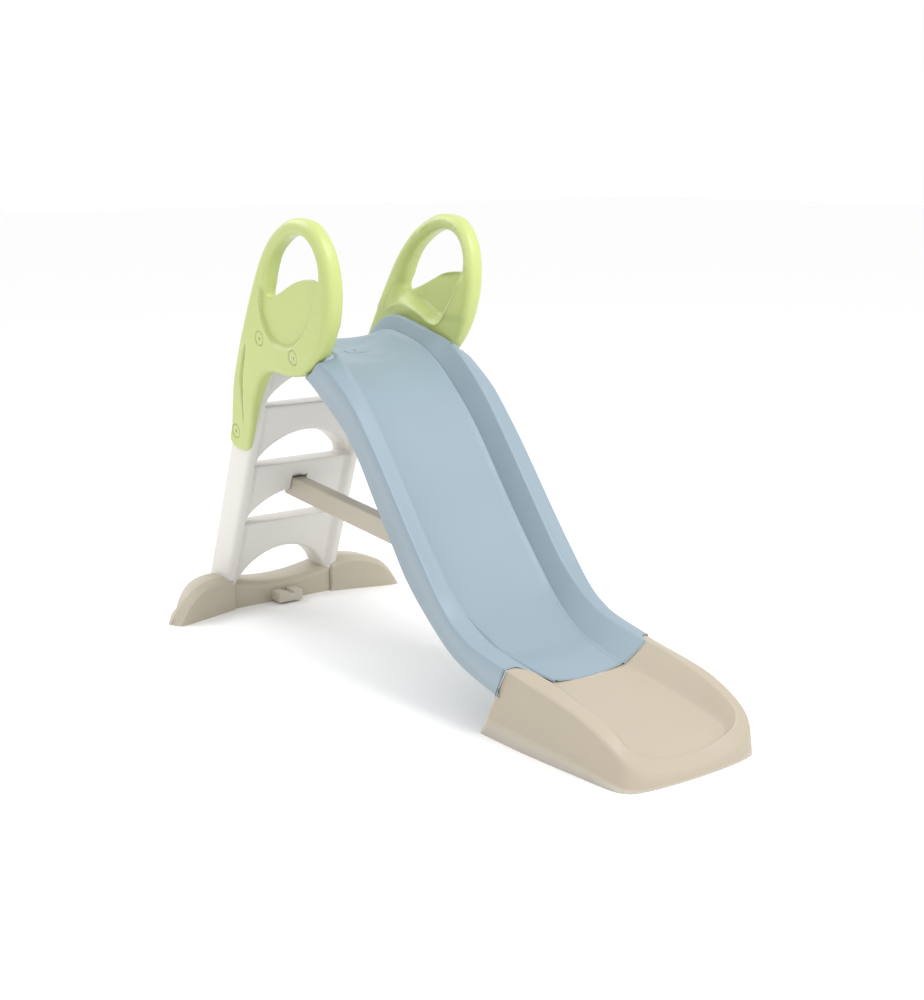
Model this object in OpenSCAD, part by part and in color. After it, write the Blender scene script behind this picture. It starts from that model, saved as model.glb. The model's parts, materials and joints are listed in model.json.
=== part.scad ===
// Free-standing toddler slide: S-shaped chute, run-out exit, leaning ladder with
// flat treads, two hand rings and a centre brace. Millimetres, +Z up, +X towards
// the exit, Y = 0 is the centre plane. Shapes are drawn with x = 0 at the front of
// the rear feet, and place() moves the origin to the middle of the footprint.

/* [Chute] */
// Thickness of the moulded skins, measured upright
skin = 6; // [5:0.5:7]
// Half width of the trough between the rails
rail_in = 178; // [176:1:180]
// Half width over the rails
rail_out = 224; // [222:1:228]
// Half width of the recessed deck walls beside the ladder head
deck_out = 178.5; // [178:0.5:179]

/* [Ladder] */
// Lean of the ladder, as run over rise
lean = 0.375; // [0.36:0.005:0.39]
// Half width over the stiles
stile_out = 188; // [187:0.5:188.5]
// Half width between the stiles
stile_in = 163; // [160:1:165]
// Depth of the stiles from front to back
stile_d = 112; // [104:2:116]
// How far the rungs' front faces lie behind the stiles' front
rung_recess = 14; // [12:1:16]
// Height of the lowest tread
tread_1 = 262; // [258:1:266]
// Rise from tread to tread
tread_rise = 177.5; // [175:0.5:180]

/* [Handles] */
// Half length of the hand ring's short axis
ring_a = 178; // [170:1:182]
// Half length of the hand ring's long axis
ring_b = 226; // [222:1:228]
// Tilt of the ring's long axis from upright, in degrees
ring_tilt = 46; // [42:1:50]

/* [Base] */
// Half width over the tips of the feet
foot_tip = 389; // [386:1:392]
// Rear edge of the feet
foot_rear = -150; // [-155:1:-146]

/* [Exit] */
// Front edge of the run-out
exit_front = 1700; // [1698:1:1704]

/* [Brace] */
// Width of the brace across the slide
brace_w = 42; // [38:1:44]
// Height of the brace bar
brace_h = 58; // [54:1:60]

/* [Hidden] */
$fn = 48;

x_mid = (foot_rear + exit_front) / 2;
eps = 0.02;
tread_2 = tread_1 + tread_rise;
tread_3 = tread_2 + tread_rise;
brace_half = brace_w / 2;

// Fold axis of the ladder and its pin
fold = [385, 805];
fold_pin_r = 10;
fold_gap = 0.05;
bush_r = 14;

// Brace pins: at the ladder's second rung and under the chute
brace_rear = [70, 362];
brace_front = [920, 289];
brace_pin_r = 5;
cap_r = 9;
brace_gap = 1.5;

// Water nozzle on the deck
nozzle_x = 390;
nozzle_z = 778;
hose_z = 695;

// Side-view lines of the chute as [x, z]
crest = [[234, 816], [270, 840], [306, 856], [351, 862], [403, 854], [462, 841], [525, 824], [575, 800],
         [664, 738], [744, 670], [827, 571], [961, 402], [1030, 319], [1073, 279], [1123, 242], [1179, 212],
         [1234, 198], [1310, 183], [1400, 172]];
shoulder = [[503, 735], [509, 742], [531, 755], [562, 777], [585, 767], [610, 757], [705, 694],
            [755, 653], [826, 573], [960, 407], [1029, 325], [1099, 249], [1160, 212], [1201, 199], [1256, 188], [1318, 177]];
lower = [[234, 746], [450, 746], [508, 737], [583, 693], [676, 630], [743, 563], [806, 477], [878, 384],
         [937, 308], [1027, 228], [1132, 157], [1273, 112], [1345, 100]];
// Depth of the trough below the crest at the bed's corners and at its middle
corner_drop = [[234, 28], [326, 40], [460, 38], [520, 45], [600, 64], [700, 74], [860, 82], [1016, 64],
               [1150, 46], [1370, 38]];
middle_drop = [[234, 20], [326, 78], [390, 77], [460, 74], [520, 70], [600, 76], [700, 86], [860, 94],
               [1016, 76], [1150, 56], [1370, 47]];
bed_half = [[234, 150], [1000, 146], [1150, 128], [1345, 107], [1380, 104]];

// Stations along the exit: bed middle [x, z], rim's inner edge [x, y, z],
// shoulder [x, y, z] and foot of the outer wall [x, y]
exit_stations = [
    [[1348, 129], [1317, 178, 178.5], [1311, 216, 175.5], [1217, 213]],
    [[1372, 125], [1345, 178, 178], [1338, 216, 170], [1270, 214]],
    [[1412, 118], [1392, 178, 173], [1386, 216, 163], [1345, 215]],
    [[1468, 107], [1456, 177, 160], [1452, 215, 154], [1430, 213]],
    [[1528, 93], [1522, 175, 144], [1520, 213, 141], [1510, 209]],
    [[1580, 78], [1576, 172, 128], [1578, 210, 120], [1574, 206]],
    [[1616, 65], [1614, 166, 109], [1620, 205, 98], [1620, 204]],
    [[1634, 56], [1638, 152, 84], [1651, 194, 72], [1656, 198]],
    [[1646, 49], [1652, 130, 60], [1671, 174, 44], [1677, 180]],
    [[1654, 43], [1659, 96, 45], [1683, 140, 24], [1690, 138]],
    [[1658, 40], [1662, 48, 40], [1689, 74, 20], [1698, 74]],
    [[1661, 39], [1662, 14, 39], [1689, 20, 20], [exit_front, 24]]
];
exit_hollow = 6;

// Value at x of a smooth line through points, with slopes taken from their neighbours
function span(pts, x, i = 0) = (i >= len(pts) - 2 || x < pts[i + 1][0]) ? i : span(pts, x, i + 1);
function grade(pts, i) =
    let (a = max(i - 1, 0), b = min(i + 1, len(pts) - 1))
    (pts[b][1] - pts[a][1]) / (pts[b][0] - pts[a][0]);
function along(pts, x) =
    let (i = span(pts, x), a = pts[i], b = pts[i + 1], h = b[0] - a[0], t = (x - a[0]) / h)
    a[1] * (1 + 2 * t) * pow(1 - t, 2) + b[1] * t * t * (3 - 2 * t)
    + h * grade(pts, i) * t * pow(1 - t, 2) - h * grade(pts, i + 1) * t * t * (1 - t);

// Skins a list of equal closed rings of points, split the same way on both sides of the
// centre plane. Each end is closed by strips between the top skin and the one below it.
module skinned(rings) {
    n = len(rings[0]);
    half = (n / 2 - 1) / 2;
    last = (len(rings) - 1) * n;
    sides = [for (i = [0:len(rings) - 2], j = [0:n - 1])
        let (k = (j + 1) % n, a = i * n, b = a + n, left = j < half || j > n / 2 - 1 + half)
        each left ? [[a + j, a + k, b + k], [a + j, b + k, b + j]]
                  : [[a + j, a + k, b + j], [a + k, b + k, b + j]]];
    ends = [for (j = [0:n / 2 - 2])
        let (a = j, b = j + 1, c = n - 2 - j, d = n - 1 - j)
        each j < half
            ? [[a, d, b], [d, c, b], [last + a, last + b, last + d], [last + d, last + b, last + c]]
            : [[a, d, c], [a, c, b], [last + a, last + c, last + d], [last + a, last + b, last + c]]];
    polyhedron(points = [for (r = rings) each r], faces = concat(sides, ends), convexity = 8);
}

// Both halves of a section from its +Y half, top skin outwards then back underneath
function both_sides(top, under) = concat(
    [for (i = [len(top) - 1:-1:1]) [top[i][0], -top[i][1], top[i][2]]],
    top,
    [for (i = [len(under) - 1:-1:0]) under[i]],
    [for (i = [1:len(under) - 1]) [under[i][0], -under[i][1], under[i][2]]]);

module place() { translate([-x_mid, 0, 0]) children(); }

// Extrudes an [x, z] outline from y0 to y1
module side_plate(outline, y0, y1) {
    translate([0, y1, 0]) rotate([90, 0, 0]) linear_extrude(y1 - y0) polygon(outline);
}

// Cylinder along Y through [x, z]
module cross_rod(at, r, y0, y1) {
    translate([at[0], y0, at[1]]) rotate([-90, 0, 0]) cylinder(r = r, h = y1 - y0);
}

module mirrored() {
    children();
    mirror([0, 1, 0]) children();
}

// ---- chute ----

// One section of the chute. xi is the x of the trough, xs of the shoulder, xw of the
// wall's lower edge, out the half width, xr the x of the rail's inner edge when it differs,
// and rear closes the underside down to the wall's edge
function chute_ring(xi, xs, xw, out, rear = false, xr = 0) =
    let (xc = xr > 0 ? xr : xi, rail = along(crest, xc), c = along(crest, xi),
         s = out > deck_out ? along(shoulder, xs) : along(crest, xs),
         corner = c - along(corner_drop, xi), middle = c - along(middle_drop, xi),
         bh = along(bed_half, xi), low = along(lower, xw), in = min(rail_in, out - 16),
         t = skin * 1.35)
    both_sides(
        [[xi, 0, middle], [xi, bh * 0.55, middle * 0.7 + corner * 0.3], [xi, bh, corner],
         [xc, in, rail], [xs, out, s], [xw, out, low]],
        [[xi, 0, rear ? low : middle - t], [xi, bh * 0.55, rear ? low : middle * 0.7 + corner * 0.3 - t],
         [xi, bh + 3, rear ? low : corner - t], [xc, in + (out > deck_out ? 4 : 1), rear ? low : rail - t * 1.4],
         [xs, out - skin + 1, rear ? low : s - t * 1.3], [xw, out - skin + 1, low]]);

chute_deck_x = [234, 240, 240.5, 262, 290, 320, 350, 390, 430, 470];
chute_glide_x = [575, 610, 650, 690, 730, 770, 810, 850, 890, 930, 970, 1010, 1050, 1090, 1130, 1170,
                 1210, 1250];

// How far the rail's inner edge leads the trough, and the wall's lower edge lags it
function rail_lead(x) = 42 * max(0, 1 - (x - 550) / 260);
function wall_lag(x) = 44 * max(0, 1 - (x - 552) / 308);

module brace_hook() {
    outline = [[888, 395], [888, 300], [905, 272], [934, 272], [952, 300], [952, 325]];
    difference() {
        for (side = [-1, 1])
            side_plate(outline, side * (brace_half + 5.5) - 3.5, side * (brace_half + 5.5) + 3.5);
        cross_rod(brace_front, brace_pin_r + brace_gap, -60, 60);
        translate([brace_front[0], 0, brace_front[1]]) rotate([0, -29, 0])
            translate([-brace_pin_r - 1, -60, -60]) cube([2 * brace_pin_r + 2, 120, 60]);
    }
}

module chute() {
    deck = [for (x = chute_deck_x) chute_ring(x, x, x, deck_out, x <= 240)];
    step = [chute_ring(505, 515, 490, deck_out, false, 515), chute_ring(528, 550, 496, deck_out, false, 550),
            chute_ring(545, 585, 500, deck_out, false, 585), chute_ring(547, 506, 503, rail_out, false, 588),
            chute_ring(550, 531, 507, rail_out, false, 590), chute_ring(553, 564, 514, rail_out, false, 595)];
    glide = [for (x = chute_glide_x)
        chute_ring(x, x + 8, x - wall_lag(x), rail_out - max(0, x - 1100) / 40, false, x + rail_lead(x))];
    foot = [chute_ring(1290, 1290, 1266, rail_out - 4.8), chute_ring(1345, 1306, 1273, rail_out - 5, false, 1312)];
    color("#A9BAC5") place() difference() {
        union() {
            skinned(concat(deck, step, glide, foot));
            brace_hook();
            mirrored() cross_rod(fold, 22, 165, deck_out - 2);
            mirrored() translate([exit_screw_x, exit_screw_y, 108.5]) cylinder(r = 12, h = 24);
        }
        mirrored() cross_rod(fold, bush_r, 160, 200);
        translate([nozzle_x, 0, 740]) cylinder(r = 11, h = 60);
        mirrored() translate([exit_screw_x, exit_screw_y, 100]) cylinder(r = 3, h = 24);
    }
}

// ---- exit ----

exit_screw_x = 1322;
exit_screw_y = 60;

// The first stations are hollow underneath and the nose is solid
function exit_ring(i) =
    let (m = exit_stations[i][0], r = exit_stations[i][1], o = exit_stations[i][2], f = exit_stations[i][3],
         t = skin, d = i > exit_hollow, nose = i == len(exit_stations) - 1, top = [m[0], 0, m[1]],
         near = [m[0], r[1] * 0.4, m[1] + (r[2] - m[1]) * 0.06],
         far = [m[0] + (r[0] - m[0]) * 0.02, r[1] * 0.62, m[1] + (r[2] - m[1]) * 0.22])
    both_sides(
        [top, near, far, r, o, [f[0], f[1], 0]],
        nose ? [for (k = [0:5]) [f[0] - k * 0.4, f[1] * k / 6, 0]] :
        [[top[0], 0, d ? 0 : top[2] - t], [near[0], near[1], d ? 0 : near[2] - t],
         [far[0], far[1] + (d ? 0 : 2), d ? 0 : far[2] - t], [r[0], r[1] + (d ? -2 : 3), d ? 0 : r[2] - t * 1.5],
         [o[0] + (d ? -4 : 0), o[1] - t, d ? 0 : o[2] - t * 1.3], [f[0] + (d ? -2 : 0), f[1] - t, 0]]);

module chute_exit() {
    color("#D3C9B4") place() difference() {
        union() {
            skinned([for (i = [0:len(exit_stations) - 1]) exit_ring(i)]);
            translate([1298, -88, 100]) cube([57, 176, 8]);
            translate([1349, -88, 100]) cube([6, 176, 27]);
        }
        mirrored() translate([exit_screw_x, exit_screw_y, 90]) cylinder(r = 3.3, h = 30);
    }
}

module exit_screws() {
    color("silver") place() mirrored() translate([exit_screw_x, exit_screw_y, 95.5]) {
        cylinder(r = 7, h = 4.2);
        cylinder(r = 3, h = 20);
    }
}

// ---- water fittings ----

module water_nozzle() {
    color("#8EA0AB") place() translate([nozzle_x, 0, 0]) difference() {
        union() {
            translate([0, 0, 766]) cylinder(r = 16, h = 3);
            translate([0, 0, 735]) cylinder(r = 10, h = nozzle_z - 735);
        }
        translate([0, 0, 730]) cylinder(r = 4, h = 60);
    }
}

module ring_at(x, z, r_in, r_out, h) {
    translate([x, 0, z]) difference() {
        cylinder(r = r_out, h = h);
        translate([0, 0, -1]) cylinder(r = r_in, h = h + 2);
    }
}

module nozzle_seal() { color("#3B3B3B") place() ring_at(nozzle_x, 762.5, 10.1, 16, 3); }

module inlet_nut() { color("#6F7E88") place() ring_at(nozzle_x, 751, 10.1, 17, 11); }

// Elbow under the deck with its hose tail pointing sideways
module hose_inlet() {
    color("#6F7E88") place() difference() {
        union() {
            translate([nozzle_x, 0, hose_z - 14]) cylinder(r = 13, h = 734.5 - hose_z + 14);
            cross_rod([nozzle_x, hose_z], 9, -26, 0);
            cross_rod([nozzle_x, hose_z], 6.5, -62, 0);
        }
        translate([nozzle_x, 0, hose_z - 6]) cylinder(r = 5, h = 60);
        cross_rod([nozzle_x, hose_z], 4, -70, 0);
    }
}

// ---- ladder ----

function front_x(z) = -38 + lean * z;
ladder_low = 14;
ladder_top = 741;

module leaning(z0, z1, setback, depth) {
    side_plate([[front_x(z0) - setback, z0], [front_x(z1) - setback, z1],
                [front_x(z1) - depth, z1], [front_x(z0) - depth, z0]], -stile_out, stile_out);
}

// Opening that is flat at the tread and arched above it: half width at the tread, apex height
module arch_cut(sill, half, apex) {
    rise = apex - sill;
    r = (half * half + rise * rise) / (2 * rise);
    intersection() {
        translate([-200, 0, apex - r]) rotate([0, 90, 0]) cylinder(r = r, h = 700, $fn = 96);
        translate([-200, -half, sill]) cube([700, 2 * half, rise + 10]);
    }
}

tail_seat = [[53, 498], [69, 486], [153, 486], [164, 498], [198, 580], [222, 640], [252, 691],
             [120, 691], [117, 678], [68, 553]];

module ladder_head() {
    outline = [[150, 700], [240, 700], [290, 728], [420, 736], [468, 764], [474, 800], [440, 836],
               [250, 846], [196, 800]];
    mirrored() side_plate(outline, 180.5, 188.5);
}

module ladder() {
    slot_r = brace_h / 2 + 3;
    color("#EAE8E2") place() difference() {
        union() {
            difference() {
                leaning(ladder_low, ladder_top, 0, stile_d);
                translate([-200, -stile_in, ladder_low - 1]) cube([800, 2 * stile_in, 800]);
            }
            intersection() {
                leaning(70, ladder_top, rung_recess, stile_d - 12);
                difference() {
                    translate([-200, -stile_in - 1, 70]) cube([800, 2 * stile_in + 2, ladder_top - 70]);
                    arch_cut(40, stile_in - 6, 171);
                    arch_cut(tread_1, stile_in, tread_1 + 93);
                    arch_cut(tread_2, stile_in, tread_2 + 95);
                    arch_cut(tread_3, stile_in, tread_3 + 97);
                }
            }
            ladder_head();
        }
        mirrored() side_plate(tail_seat, 172, 200);
        cross_rod(fold, fold_pin_r + 0.2, -200, 200);
        cross_rod(brace_rear, slot_r, -brace_half - 2, brace_half + 2);
        translate([brace_rear[0] - 2, -brace_half - 2, brace_rear[1] - 40])
            cube([90, brace_w + 4, slot_r + 40 - 1]);
        cross_rod(brace_rear, brace_pin_r, -80, 80);
        for (at = screw_spots) cross_rod(at, 2.6, -200, 200);
    }
}

// ---- base ----

foot_front = 0;
bar_front = -12;

foot_ridge = [[166, 100], [190, 105], [225, 107], [260, 103], [290, 95], [318, 83], [335, 71], [352, 53],
              [367, 33], [377, 18], [386, 4]];

module foot() {
    profile = concat([[166, 0]], foot_ridge, [[foot_tip, 2], [foot_tip, 0]]);
    plan = [[foot_front, 150], [foot_front, 166], [foot_front + 14, 220], [foot_front + 30, 275],
            [foot_front + 45, 324], [foot_front + 51, 362], [foot_front + 46, 381], [foot_front + 28, foot_tip],
            [0, 386], [-30, 372], [-90, 335], [foot_rear + 16, 290], [foot_rear, 230], [foot_rear, 150]];
    difference() {
        intersection() {
            translate([-200, 0, 0]) rotate([90, 0, 90]) linear_extrude(300) polygon(profile);
            linear_extrude(140) polygon(plan);
        }
        side_plate([[front_x(ladder_low) + 0.5, ladder_low - 0.5], [front_x(120) + 0.5, 120],
                    [front_x(120) - stile_d - 0.5, 120], [front_x(ladder_low) - stile_d - 0.5, ladder_low - 0.5]],
                   150, stile_out + 0.5);
        translate([-90, (stile_out + 165) / 2 - 1, -1]) cylinder(r = 3, h = 40);
    }
}

module left_foot() { color("#B8AC97") place() mirror([0, 1, 0]) foot(); }

module right_foot() { color("#B8AC97") place() foot(); }

module rear_crossbar() {
    top = [for (i = [-6:6]) [i * 165 / 6, 62 + 22 * pow(abs(i) / 6, 2)]];
    color("#B8AC97") place() difference() {
        union() {
            translate([foot_rear + 20, 0, 0]) rotate([90, 0, 90]) linear_extrude(bar_front - foot_rear - 20)
                polygon(concat([[165.5, 0], [-165.5, 0]], top));
            translate([bar_front - 1, -40, 5]) cube([51, 80, 33]);
        }
        translate([bar_front + 8, -9, 29]) cube([60, 18, 20]);
        for (side = [-1, 1])
            side_plate([[front_x(13) + 1, 13], [front_x(120) + 1, 120], [front_x(120) - stile_d - 1, 120],
                        [front_x(13) - stile_d - 1, 13]], side * 165 - 27, side * 165 + 27);
        translate([foot_rear + 30, -140, -1]) cube([bar_front - foot_rear - 40, 280, 50]);
    }
}

module foot_screws() {
    color("silver") place() mirrored() translate([-90, (stile_out + 165) / 2 - 1, 2]) {
        cylinder(r = 2.6, h = 36);
        cylinder(r = 2.9, h = 3);
    }
}

// ---- handles ----

ring_centre = [455, 935];
hole_centre = [451, 950];
screw_spots = [[292, 825], [448, 787], [94, 549]];

function oval(c, a, b, steps = 64) = [for (i = [0:steps - 1])
    let (t = 360 * i / steps, u = a * cos(t), v = b * sin(t))
    [c[0] + u * cos(ring_tilt) + v * sin(ring_tilt), c[1] - u * sin(ring_tilt) + v * cos(ring_tilt)]];

// Height of the web's upper edge across the ring
function web_top(x) = 944 + 44 * sin(min(max((x - 340) / 260, 0), 1) * 120);

module handle() {
    rear_strip = [[56, 500], [71, 552], [120, 677], [194, 837], [269, 965], [329, 1048], [420, 1080],
                  [500, 900], [440, 745], [340, 734], [297, 729], [251, 692], [218, 642], [194, 582], [160, 500],
                  [150, 489], [71, 489]];
    thickness = [[194, 480], [235, 800], [258, 1150], [204, 1150], [184.5, 868], [190, 862], [190, 690.5],
                 [172.5, 687.5], [172.5, 480]];
    web_line = [for (x = [300:20:640]) [x, web_top(x)]];
    difference() {
        intersection() {
            union() {
                side_plate(oval(ring_centre, ring_a, ring_b), 150, 280);
                side_plate(rear_strip, 150, 280);
            }
            translate([0, 0, 0]) rotate([90, 0, 90]) linear_extrude(800) polygon(thickness);
        }
        // hand opening above the web
        intersection() {
            side_plate(oval(hole_centre, 120, 170), 150, 280);
            side_plate(concat(web_line, [[640, 1200], [300, 1200]]), 150, 280);
        }
        // dish on both sides of the web
        side_plate(oval(hole_centre, 120, 170), 238, 280);
        intersection() {
            side_plate(oval(hole_centre, 120, 170), 150, 222);
            side_plate([[250, 880], [700, 880], [700, 1200], [250, 1200]], 150, 222);
        }
        cross_rod(fold, 15, 189, 199);
        for (at = screw_spots) {
            cross_rod(at, 3.2, 150, 280);
            cross_rod(at, 20, screw_seat(at[1]), 280);
        }
    }
}

// Floor of a screw recess, measured from the centre plane
function screw_seat(z) = (z < 700 ? 198 : 235) - 8;

module left_handle() { color("#CFDD8F") place() mirror([0, 1, 0]) handle(); }

module right_handle() { color("#CFDD8F") place() handle(); }

module handle_screws() {
    for (at = screw_spots) {
        cross_rod(at, 9, screw_seat(at[1]) + 0.3, screw_seat(at[1]) + 4);
        cross_rod(at, 2.5, at[1] < 700 ? 168 : 181, screw_seat(at[1]) + 0.3 + eps);
    }
}

module left_handle_screws() { color("silver") place() mirror([0, 1, 0]) handle_screws(); }

module right_handle_screws() { color("silver") place() handle_screws(); }

// ---- hinge ----

module hinge_pin() {
    cross_rod(fold, fold_pin_r, 155, 189);
    cross_rod(fold, 14, 189 - eps, 196);
}

module hinge_bush() {
    difference() {
        union() {
            cross_rod(fold, bush_r - eps, 165, 180);
            cross_rod(fold, 17, 161.5, 165 - eps);
        }
        cross_rod(fold, fold_pin_r + fold_gap, 150, 190);
    }
}

module hinge_clip() {
    difference() {
        cross_rod(fold, 12.5, 157.5, 160.5);
        cross_rod(fold, fold_pin_r, 150, 170);
    }
}

module left_hinge_pin() { color("silver") place() mirror([0, 1, 0]) hinge_pin(); }

module right_hinge_pin() { color("silver") place() hinge_pin(); }

module left_hinge_bush() { color("#4A4A4A") place() mirror([0, 1, 0]) hinge_bush(); }

module right_hinge_bush() { color("#4A4A4A") place() hinge_bush(); }

module left_hinge_clip() { color("silver") place() mirror([0, 1, 0]) hinge_clip(); }

module right_hinge_clip() { color("silver") place() hinge_clip(); }

// ---- brace ----

module brace() {
    run = brace_front - brace_rear;
    length = norm(run);
    angle = -atan2(run[1], run[0]);
    rear = [for (a = [90:15:270]) brace_h / 2 * [cos(a), sin(a)]];
    front = [for (a = [-90:15:90]) [length + 20 * cos(a), 20 * sin(a)]];
    bar = concat(rear, [[length - 60, -brace_h / 2]], front, [[length - 60, brace_h / 2]]);
    color("#B8AC97") place() difference() {
        translate([brace_rear[0], 0, brace_rear[1]]) rotate([0, angle, 0])
            translate([0, brace_half, 0]) rotate([90, 0, 0]) linear_extrude(brace_w) polygon(bar);
        cross_rod(brace_rear, brace_pin_r + fold_gap, -60, 60);
        cross_rod(brace_front, brace_pin_r, -60, 60);
    }
}

module brace_pivot_pin() { color("silver") place() cross_rod(brace_rear, brace_pin_r, -62, 62); }

module brace_pivot_caps() {
    color("#B8AC97") place() mirrored() cross_rod([brace_rear[0], brace_rear[1]], brace_pin_r - 1, 62, 66);
}

module brace_hook_pin() { color("silver") place() cross_rod(brace_front, brace_pin_r, -36, 36); }

module brace_hook_caps() { color("silver") place() mirrored() cross_rod(brace_front, cap_r, 36, 40); }

chute();
chute_exit();
exit_screws();
water_nozzle();
nozzle_seal();
hose_inlet();
inlet_nut();
ladder();
rear_crossbar();
left_foot();
right_foot();
foot_screws();
left_handle();
right_handle();
left_handle_screws();
right_handle_screws();
left_hinge_pin();
right_hinge_pin();
left_hinge_bush();
right_hinge_bush();
left_hinge_clip();
right_hinge_clip();
brace();
brace_pivot_pin();
brace_pivot_caps();
brace_hook_pin();
brace_hook_caps();
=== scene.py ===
import json
import math
import bpy
import bmesh
import numpy as np
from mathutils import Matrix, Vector
from mathutils.geometry import delaunay_2d_cdt


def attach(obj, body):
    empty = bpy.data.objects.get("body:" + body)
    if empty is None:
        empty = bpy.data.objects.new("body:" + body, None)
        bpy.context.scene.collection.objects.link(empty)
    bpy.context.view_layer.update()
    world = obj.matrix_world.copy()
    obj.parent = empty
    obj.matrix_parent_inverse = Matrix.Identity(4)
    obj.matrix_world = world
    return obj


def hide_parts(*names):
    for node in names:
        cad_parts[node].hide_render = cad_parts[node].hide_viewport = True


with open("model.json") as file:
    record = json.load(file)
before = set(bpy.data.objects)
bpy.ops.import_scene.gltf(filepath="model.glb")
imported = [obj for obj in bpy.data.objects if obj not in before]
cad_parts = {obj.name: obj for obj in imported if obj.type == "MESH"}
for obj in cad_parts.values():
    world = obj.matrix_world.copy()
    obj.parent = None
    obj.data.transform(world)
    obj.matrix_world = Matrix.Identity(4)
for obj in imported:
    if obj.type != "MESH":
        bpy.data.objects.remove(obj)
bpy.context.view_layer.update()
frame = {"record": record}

# Shapes below are in millimetres, with x = 0 at the front of the rear feet, y = 0 on the
# centre plane and z = 0 on the floor. MID is the x of the frame's origin.
MID = 775.0


def metres(points):
    p = np.asarray(points, float)
    return np.column_stack([p[:, 0] - MID, p[:, 1], p[:, 2]]) / 1000.0


# ---------- curves ----------

def catmull(points, closed, per):
    p = np.asarray(points, float)
    n = len(p)
    out = []
    spans = n if closed else n - 1
    for i in range(spans):
        if closed:
            a, b, c, d = p[(i - 1) % n], p[i], p[(i + 1) % n], p[(i + 2) % n]
        else:
            a = p[i - 1] if i > 0 else 2 * p[0] - p[1]
            b, c = p[i], p[i + 1]
            d = p[i + 2] if i + 2 < n else 2 * p[-1] - p[-2]
        for t in np.arange(per) / per:
            out.append(0.5 * (2 * b + (c - a) * t + (2 * a - 5 * b + 4 * c - d) * t * t
                              + (3 * b - a - 3 * c + d) * t ** 3))
    if not closed:
        out.append(p[-1])
    return np.array(out)


def even(points, step, closed):
    p = np.asarray(points, float)
    q = np.vstack([p, p[:1]]) if closed else p
    s = np.concatenate([[0], np.cumsum(np.linalg.norm(np.diff(q, axis=0), axis=1))])
    n = max(3, int(round(s[-1] / step)))
    t = np.linspace(0, s[-1], n + 1)
    if closed:
        t = t[:-1]
    return np.column_stack([np.interp(t, s, q[:, k]) for k in range(q.shape[1])])


def smooth_loop(points, step=4.0):
    return even(catmull(points, True, 12), step, True)


def along(table, x):
    """Smooth value at x through [x, value] pairs, slopes from their neighbours."""
    t = np.asarray(table, float)
    xs, ys = t[:, 0], t[:, 1]
    g = np.zeros(len(xs))
    for i in range(len(xs)):
        a, b = max(i - 1, 0), min(i + 1, len(xs) - 1)
        g[i] = (ys[b] - ys[a]) / (xs[b] - xs[a])
    x = np.asarray(x, float)
    i = np.clip(np.searchsorted(xs, x, side="right") - 1, 0, len(xs) - 2)
    h = xs[i + 1] - xs[i]
    u = (x - xs[i]) / h
    return (ys[i] * (1 + 2 * u) * (1 - u) ** 2 + ys[i + 1] * u * u * (3 - 2 * u)
            + h * g[i] * u * (1 - u) ** 2 - h * g[i + 1] * u * u * (1 - u))


def ease(t):
    t = np.clip(t, 0, 1)
    return t * t * (3 - 2 * t)


def round_over(d, r, depth=None):
    """How far a rounded edge of radius r has dropped at distance d from the edge."""
    u = np.clip(1 - d / r, 0, 1)
    return (r if depth is None else depth) * (1 - np.sqrt(np.clip(1 - u * u, 0, 1)))


# ---------- mesh helpers ----------

def new_object(name, verts, faces, material, body, nodes=(), smooth=True):
    mesh = bpy.data.meshes.new(name)
    mesh.from_pydata([tuple(v) for v in verts], [], [tuple(int(k) for k in f) for f in faces])
    mesh.validate()
    bm = bmesh.new()
    bm.from_mesh(mesh)
    bmesh.ops.remove_doubles(bm, verts=bm.verts, dist=1e-6)
    bmesh.ops.recalc_face_normals(bm, faces=bm.faces)
    bm.to_mesh(mesh)
    bm.free()
    for poly in mesh.polygons:
        poly.use_smooth = smooth
    obj = bpy.data.objects.new(name, mesh)
    bpy.context.collection.objects.link(obj)
    obj.data.materials.append(material)
    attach(obj, body)
    if nodes:
        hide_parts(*nodes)
    return obj


def sharpen(obj, degrees):
    """Marks edges steeper than an angle as sharp, so flats stay flat."""
    bm = bmesh.new()
    bm.from_mesh(obj.data)
    limit = math.radians(degrees)
    for e in bm.edges:
        e.smooth = not (len(e.link_faces) == 2 and e.calc_face_angle(0) > limit)
    bm.to_mesh(obj.data)
    bm.free()


def seg_distance(pts, loop, closed=True):
    """Distance from each point to a polyline."""
    a = loop if closed else loop[:-1]
    b = np.roll(loop, -1, axis=0) if closed else loop[1:]
    ab = b - a
    ll = np.maximum((ab ** 2).sum(1), 1e-12)
    best = np.full(len(pts), 1e9)
    for k in range(0, len(pts), 2000):
        p = pts[k:k + 2000]
        t = np.clip(((p[:, None, :] - a[None]) * ab[None]).sum(2) / ll[None], 0, 1)
        q = a[None] + t[..., None] * ab[None]
        best[k:k + 2000] = np.sqrt(((p[:, None, :] - q) ** 2).sum(2)).min(1)
    return best


def circle(c, r, n=40):
    t = np.linspace(0, 2 * math.pi, n, endpoint=False)
    return np.column_stack([c[0] + r * np.cos(t), c[1] + r * np.sin(t)])


def inside(pts, loop):
    x, y = pts[:, 0], pts[:, 1]
    c = np.zeros(len(pts), bool)
    a, b = loop, np.roll(loop, -1, axis=0)
    for (x0, y0), (x1, y1) in zip(a, b):
        if y0 == y1:
            continue
        hit = ((y0 > y) != (y1 > y)) & (x < (x1 - x0) * (y - y0) / (y1 - y0) + x0)
        c ^= hit
    return c


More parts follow.
